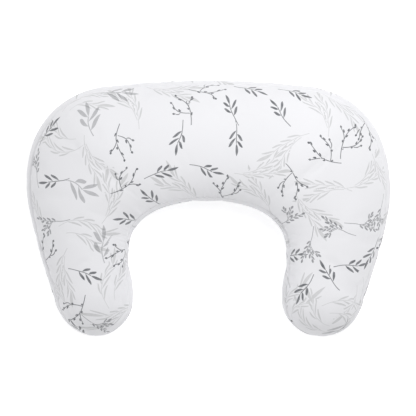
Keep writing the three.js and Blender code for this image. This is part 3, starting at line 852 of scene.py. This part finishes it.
def cast_zinc():
    """Zinc alloy, die cast and tumbled: a soft grey shine with fine wear that breaks up the reflection."""
    material, tree, shader = new_material("cast_zinc")
    place = add(tree, "ShaderNodeTexCoord")
    wear = add(tree, "ShaderNodeTexNoise", None, {"Vector": (place, "Object"), "Scale": 700.0, "Detail": 4.0})
    rough = add(tree, "ShaderNodeMapRange", None, {"Value": wear, 1: 0.3, 2: 0.7, 3: 0.24, 4: 0.42})
    mixed = add(
        tree, "ShaderNodeMix", {"data_type": "RGBA"},
        {"Factor": wear, 6: colour("#B9BBBD"), 7: colour("#D2D3D5")},
    )
    feed(tree, shader, {"Base Color": (mixed, 2), "Roughness": rough, "Metallic": 1.0})
    bump = add(tree, "ShaderNodeBump", None, {"Strength": 0.2, "Distance": 0.00004, "Height": wear})
    feed(tree, shader, {"Normal": bump})
    return material


def polyester_fibre():
    """Hollow polyester staple, carded and blown: a white tangle that scatters light with no shine."""
    material, tree, shader = new_material("polyester_fibre")
    place = add(tree, "ShaderNodeTexCoord")
    tangle = add(
        tree, "ShaderNodeTexNoise", None,
        {"Vector": (place, "Object"), "Scale": 220.0, "Detail": 6.0, "Distortion": 1.5},
    )
    mixed = add(
        tree, "ShaderNodeMix", {"data_type": "RGBA"},
        {"Factor": tangle, 6: colour("#E6E6E4"), 7: colour("#FBFBFA")},
    )
    feed(tree, shader, {"Base Color": (mixed, 2), "Roughness": 0.95})
    bump = add(tree, "ShaderNodeBump", None, {"Strength": 0.6, "Distance": 0.0008, "Height": tangle})
    feed(tree, shader, {"Normal": bump})
    return material


# ---------- pieces ----------


def thicken(obj, thick):
    """Gives a sheet its thickness, in millimetres, inwards from its outer face."""
    wall = obj.modifiers.new("thickness", "SOLIDIFY")
    wall.thickness = thick * MM
    wall.offset = -1


def panel(name, stations, rows, depth, thick, material, skip=None):
    """One sheet of cloth, its outer face depth millimetres under the cover's, thick millimetres thick."""
    share, angle = np.meshgrid(stations, rows, indexing="ij")
    places, normals = cover_places(share, angle)
    bm = grid_sheet(share, angle, places - normals * depth, normals)
    if skip:
        share_layer, angle_layer = bm.verts.layers.float["share"], bm.verts.layers.float["angle"]
        gone = []
        for face in bm.faces:
            a = sum(v[angle_layer] for v in face.verts) / len(face.verts)
            s = sum(v[share_layer] for v in face.verts) / len(face.verts)
            if skip(s, a):
                gone.append(face)
        bmesh.ops.delete(bm, geom=gone, context="FACES")
    obj = add_object(bm, name, material)
    if thick:
        thicken(obj, thick)
    return obj


def closed_tube(name, centres, side, up, radius, material):
    """A thread with six sides through places that end where they start, in millimetres."""
    turn = np.linspace(0, 2 * math.pi, 7)
    ring = centres[:, None] + radius * (
        np.cos(turn)[None, :, None] * side[:, None] + np.sin(turn)[None, :, None] * up[:, None]
    )
    flat = np.zeros(ring.shape[:2])
    bm = grid_sheet(flat, flat, ring, ring - centres[:, None])
    bmesh.ops.recalc_face_normals(bm, faces=bm.faces)
    return add_object(bm, name, material)


def seam_tube(name, angles, depth, radius, material):
    """The thread of a closed seam: out along one angle, round an arm's end and home along the other."""
    stations = stations_along(5.0, 90)
    out = np.full(len(stations), float(angles[0]))
    home = np.full(len(stations), float(angles[1]))
    share = np.concatenate([stations, stations[-2:0:-1], stations[:1]])
    angle = np.concatenate([out, home[1:-1], out[:1]])
    places, normals = cover_places(share, angle)
    centres = places - normals * depth
    run = np.roll(centres[:-1], -1, axis=0) - np.roll(centres[:-1], 1, axis=0)
    run = np.vstack([run, run[:1]])
    side = np.cross(run, normals)
    side /= np.linalg.norm(side, axis=1, keepdims=True)
    return closed_tube(name, centres, side, normals, radius, material)


def slit_rows():
    """The angles of the slit's lower and upper edges."""
    middle, turn = RING - ZIP_ANGLE, slit_turn()
    return middle - turn, middle + turn


@cache
def zip_axes():
    """The middle of the zip, the way across it and the way out of it, at the middle of the back."""
    low, high = (surface(np.array([0.0]), np.array([angle]))[0] for angle in slit_rows())
    across = (high - low) / np.linalg.norm(high - low)
    return (low + high) / 2, across, np.array([0, across[2], -across[1]])


def zip_matrix(along, across, out):
    """A place in the zip with its own axes along, across and out, in metres."""
    middle, up, outwards = zip_axes()
    place = middle + up * across + outwards * out
    turn = Matrix.Rotation(-along / BACK_RADIUS, 4, "Z")
    centre = Matrix.Translation((0, (BACK_Y - BACK_RADIUS) * MM, 0))
    local = Matrix.Identity(4)
    for k, axis in enumerate(((1, 0, 0), up, outwards)):
        for row in range(3):
            local[row][k] = axis[row]
    local.translation = Vector(place) * MM
    return centre @ turn @ centre.inverted() @ local


def beads(name, spots, size, material):
    """Small rounded pieces at matrices, each with the half sizes along, across and out, in millimetres."""
    bm = bmesh.new()
    scale = Matrix.Diagonal((*(half * MM for half in size), 1))
    for matrix in spots:
        bmesh.ops.create_uvsphere(bm, u_segments=8, v_segments=5, radius=1, matrix=matrix @ scale)
    return add_object(bm, name, material)


# The zip's runs along the slit, and places across and under the cover, in millimetres.
COIL_LENGTH = 270
STITCH_LENGTH = 286
TAPE_HALF_LENGTH = 146
TAPE_DEPTH = 1.35
STITCH_ACROSS = 8.85


def zip_strip(name, side, material):
    """One tape of the zip, which follows the cover from under the coil to past the slit's edge."""
    middle, low, high = RING - ZIP_ANGLE, 1.0, 13.5
    degrees_per_mm = slit_turn() / (SLIT_WIDTH / 2)
    rows = middle + side * np.linspace(low, high, 12) * degrees_per_mm
    stations = np.linspace(-TAPE_HALF_LENGTH, TAPE_HALF_LENGTH, 74) / outer_length()
    share, angle = np.meshgrid(stations, rows, indexing="ij")
    places, normals = frame_at(share, angle)
    ripple = 0.12 * np.sin(share * outer_length() / 5.5) * np.abs(angle - middle) / 12
    bm = grid_sheet(share, angle, places - normals * (TAPE_DEPTH + ripple[..., None]), normals)
    obj = add_object(bm, name, material)
    thicken(obj, 0.5)
    return obj


# ---------- what a user may change ----------


def length_setting(name, description, default, least=0):
    """A length that a user may change, in metres."""
    return bpy.props.FloatProperty(
        name=name, description=description, default=default, min=least, unit="LENGTH"
    )


def colour_setting(name, description, code):
    """A colour that a user may change, from a hex colour."""
    return bpy.props.FloatVectorProperty(
        name=name, description=description, default=colour(code)[:3], min=0, max=1, subtype="COLOR", size=3
    )


class PillowCloth(bpy.types.PropertyGroup):
    """How the stuffed cover lies."""

    seam_depth: length_setting("Seam depth", "How deep the joining seam draws the cover in", 0.0028)
    gather_height: length_setting("Gather height", "Height of the small gathers beside the seam", 0.0012)
    fuller_arm: length_setting("Fuller arm", "How much further the right arm swells outwards", 0.0055)
    wrinkle_strength: bpy.props.FloatProperty(
        name="Wrinkle strength", description="Share of the simulated wrinkles that the cover keeps",
        default=0.36, min=0, max=1, subtype="FACTOR",
    )


class PillowPrint(bpy.types.PropertyGroup):
    """The printed cotton's colours."""

    ground: colour_setting("Ground", "Colour of the unprinted cotton", "#E5E5E8")
    ground_shade: colour_setting("Ground shade", "The cotton's slightly darker patches", "#E0E0E3")
    sprig_ink: colour_setting("Sprig ink", "Ink of the twigs and the small leaves", "#54575C")
    frond_ink: colour_setting("Frond ink", "Ink of the pale willow fronds", "#6E716C")


class PillowZip(bpy.types.PropertyGroup):
    """The zip's repeats."""

    tooth_pitch: length_setting("Tooth pitch", "Distance from one coil tooth to the next", 0.0014, 0.0005)
    stitch_pitch: length_setting("Stitch pitch", "Distance from one topstitch to the next", 0.0032, 0.001)


class PillowStage(bpy.types.PropertyGroup):
    """The floor, the lights and the camera."""

    floor: colour_setting("Floor", "Colour of the floor", "#FCFCFC")
    camera_height: length_setting("Camera height", "How high the camera hangs over the floor", 5.0, 1)
    key_power: bpy.props.FloatProperty(
        name="Key light", description="Power of the soft light behind the back", default=9.3,
        min=0, unit="POWER",
    )
    sky: bpy.props.FloatProperty(
        name="Fill light", description="Strength of the even light from all round", default=0.61, min=0,
    )


# ---------- operators ----------


class PILLOW_OT_stage(bpy.types.Operator):
    """Sets up the camera straight above the pillow, the floor and the soft lights"""

    bl_idname = "pillow.stage"
    bl_label = "Make the stage"

    def execute(self, context):
        sizes = context.scene.pillow_stage
        camera_data = bpy.data.cameras.new("camera")
        camera = bpy.data.objects.new("camera", camera_data)
        context.scene.collection.objects.link(camera)
        aside = 0.0008
        camera.location = (aside, aside, sizes.camera_height)
        # At the height of the pillow's widest outline, the picture is this wide, in metres.
        frame_width, frame_height = 0.6685, 0.067
        camera_data.sensor_width = 36
        camera_data.lens = 36 * (sizes.camera_height - frame_height) / frame_width
        camera_data.clip_end = 50
        context.scene.camera = camera

        material, tree, shader = new_material("stage_floor")
        # The floor glows a little, so that it stays even all round.
        feed(tree, shader, {
            "Base Color": colour_of(sizes.floor), "Roughness": 0.9,
            "Emission Color": colour_of(sizes.floor), "Emission Strength": 0.36,
        })
        bm = bmesh.new()
        bmesh.ops.create_grid(bm, x_segments=1, y_segments=1, size=6)
        floor = add_object(bm, "floor", material, body=None)

        for name, place, size, power in (
            ("key", (0.35, 0.5, 1.3), 0.7, sizes.key_power),
            ("right", (1.9, -0.4, 1.6), 1.5, sizes.key_power * 0.2),
            ("left", (-1.9, -0.1, 1.3), 1.5, sizes.key_power * 0.6),
        ):
            data = bpy.data.lights.new(name, "AREA")
            data.size = size
            data.energy = power
            light = bpy.data.objects.new(name, data)
            context.scene.collection.objects.link(light)
            light.location = place
            light.rotation_euler = (-Vector(place)).to_track_quat("-Z", "Y").to_euler()

        world = bpy.data.worlds.new("sky")
        world.use_nodes = True
        backdrop = world.node_tree.nodes["Background"]
        backdrop.inputs["Color"].default_value = colour("#FFFFFF")
        backdrop.inputs["Strength"].default_value = sizes.sky
        context.scene.world = world
        context.scene.view_settings.view_transform = "Standard"
        return {"FINISHED"}


class PILLOW_OT_cover(bpy.types.Operator):
    """Makes the two panels of the printed cover, drawn in at the seam, and the seam's thread"""

    bl_idname = "pillow.cover"
    bl_label = "Make the cover"

    def execute(self, context):
        material = printed_cotton()
        stations = stations_along(2.8, 190)
        step = 1
        seam, home = SEAM_ANGLE, 180 - SEAM_ANGLE
        even = np.linspace(0, 1, 108 // step + 1)
        top_rows = seam + (home - seam) * (even - 0.05 * np.sin(2 * math.pi * even))
        top = panel("printed_cover_top", stations, top_rows, 0, COVER_CLOTH, material)
        lay_print(top.data, strokes_in_rows(TOP_ROWS, TOP_SPRIGS, 8))
        low, high = slit_rows()
        bottom_rows = rows_through(
            (home, 180, 16 // step), (180, 270, 30 // step), (270, 290, 20 // step), (290, low, 20 // step),
            (low, high, 2), (high, RING, 14 // step), (RING, RING + seam, 16 // step),
        )
        reach = SLIT_HALF / outer_length()

        def in_slit(share, angle):
            """Whether a face lies in the slit for the zip."""
            return abs(share) < reach and low < angle < high

        bottom = panel("printed_cover_bottom", stations, bottom_rows, 0, COVER_CLOTH, material, in_slit)
        lay_print(bottom.data, strokes_in_rows(UNDER_ROWS, UNDER_SPRIGS, 21))
        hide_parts("cover_top_panel")
        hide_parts("cover_bottom_panel")
        yarn = plain_fabric("spun_thread", "#E9E9E9", "#F6F6F6", 0.5, 0.7)
        thread = seam_tube("cover_seam", (seam, home), 1.5, 0.3, yarn)
        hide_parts("cover_seam_thread")
        return {"FINISHED"}


class PILLOW_OT_inner(bpy.types.Operator):
    """Makes the plain inner case, its seam, its hand-closed opening and the fibre fill"""

    bl_idname = "pillow.inner"
    bl_label = "Make the inner pillow"

    def execute(self, context):
        cotton = plain_fabric("plain_cotton", "#E6E4DC", "#F1EFE8", 0.8, 0.88)
        thread = plain_fabric("case_thread", "#E4E2DC", "#F2F1ED", 0.5, 0.7)
        stations = stations_along(7.0, 70)
        top = panel("case_top", stations, np.linspace(0, 180, 40), 4.2, 0.6, cotton)
        bottom = panel("case_bottom", stations, np.linspace(180, RING, 44), 4.2, 0.6, cotton)
        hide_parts("inner_case_top")
        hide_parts("inner_case_bottom")
        seam = seam_tube("case_seam", (0, 180), 5.4, 0.3, thread)
        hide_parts("inner_case_seam_thread")
        fill = panel("fill", stations_along(8.0, 60), np.linspace(0, RING, 72), 6.3, 0, polyester_fibre())
        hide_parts("fibre_fill")
        along = np.linspace(-0.075, 0.075, 40)
        angle = np.full(len(along), 180.0)
        places, normals = cover_places(along, angle)
        closing = beads(
            "closing_stitches",
            [Matrix.Translation(Vector(p) * MM) for p in places - normals * 3.4],
            (1.0, 0.3, 0.3), thread,
        )
        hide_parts("stuffing_opening_stitch")
        return {"FINISHED"}


class PILLOW_OT_zip(bpy.types.Operator):
    """Makes the zip's tapes, coil teeth and topstitching, and finishes its metal parts"""

    bl_idname = "pillow.zip"
    bl_label = "Make the zip"

    def execute(self, context):
        sizes = context.scene.pillow_zip
        tape = plain_fabric("zip_tape", "#DCDDE0", "#EDEEF0", 0.7, 0.8)
        nylon = nylon_monofilament()
        thread = plain_fabric("topstitch_thread", "#E6E6E8", "#F5F5F6", 0.4, 0.65)
        tooth, stitch = sizes.tooth_pitch / MM, sizes.stitch_pitch / MM
        for side, word in ((1, "upper"), (-1, "lower")):
            strip = zip_strip("tape_" + word, side, tape)
            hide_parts("zip_tape_" + word)
            count = int(COIL_LENGTH / tooth)
            spots = [
                zip_matrix((k - count / 2 + 0.25 * side) * tooth, side * 1.15, -0.2) for k in range(count)
            ]
            teeth = beads("coil_" + word, spots, (0.42, 1.15, 0.62), nylon)
            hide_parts("zip_coil_" + word)
            count = int(STITCH_LENGTH / stitch)
            degrees_per_mm = slit_turn() / (SLIT_WIDTH / 2)
            spots = []
            for k in range(count):
                along = (k - (count - 1) / 2) * stitch
                share = np.array([along / outer_length()])
                angle = RING - ZIP_ANGLE + side * STITCH_ACROSS * degrees_per_mm
                place, normal = frame_at(share, np.array([angle]))
                matrix = zip_matrix(along, side * STITCH_ACROSS, 0)
                matrix.translation = Vector(place[0] + normal[0] * 0.15) * MM
                spots.append(matrix)
            row = beads("topstitch_" + word, spots, (stitch * 0.4, 0.34, 0.3), thread)
            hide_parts("zip_stitch_" + word)
        metal = cast_zinc()
        for node in ("zip_closed_end_stop", "zip_open_end_stop", "zip_slider_body", "zip_puller"):
            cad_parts[node].data.materials.clear()
            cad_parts[node].data.materials.append(metal)
        return {"FINISHED"}


class PILLOW_PT_panel(bpy.types.Panel):
    """Lists the pillow's steps in the order they are made"""

    bl_idname = "PILLOW_PT_panel"
    bl_label = "Nursing pillow"
    bl_space_type = "VIEW_3D"
    bl_region_type = "UI"
    bl_category = "Pillow"

    def draw(self, context):
        for step in STEPS:
            self.layout.operator(step.bl_idname)
        for group in ("pillow_cloth", "pillow_print", "pillow_zip", "pillow_stage"):
            box = self.layout.box()
            values = getattr(context.scene, group)
            for name in values.__annotations__:
                box.prop(values, name)


GROUPS = {
    "pillow_cloth": PillowCloth,
    "pillow_print": PillowPrint,
    "pillow_zip": PillowZip,
    "pillow_stage": PillowStage,
}
STEPS = (PILLOW_OT_stage, PILLOW_OT_cover, PILLOW_OT_inner, PILLOW_OT_zip)


def register():
    """Makes the operators, the panel and the settings known."""
    for kind in (*GROUPS.values(), *STEPS, PILLOW_PT_panel):
        bpy.utils.register_class(kind)
    for name, kind in GROUPS.items():
        setattr(bpy.types.Scene, name, bpy.props.PointerProperty(type=kind))


def unregister():
    """Takes them away again."""
    for name in GROUPS:
        delattr(bpy.types.Scene, name)
    for kind in (PILLOW_PT_panel, *reversed(STEPS), *reversed(GROUPS.values())):
        bpy.utils.unregister_class(kind)


def main():
    """Makes everything in order."""
    register()
    bpy.ops.pillow.stage()
    bpy.ops.pillow.cover()
    bpy.ops.pillow.inner()
    bpy.ops.pillow.zip()


if __name__ == "__main__":
    main()
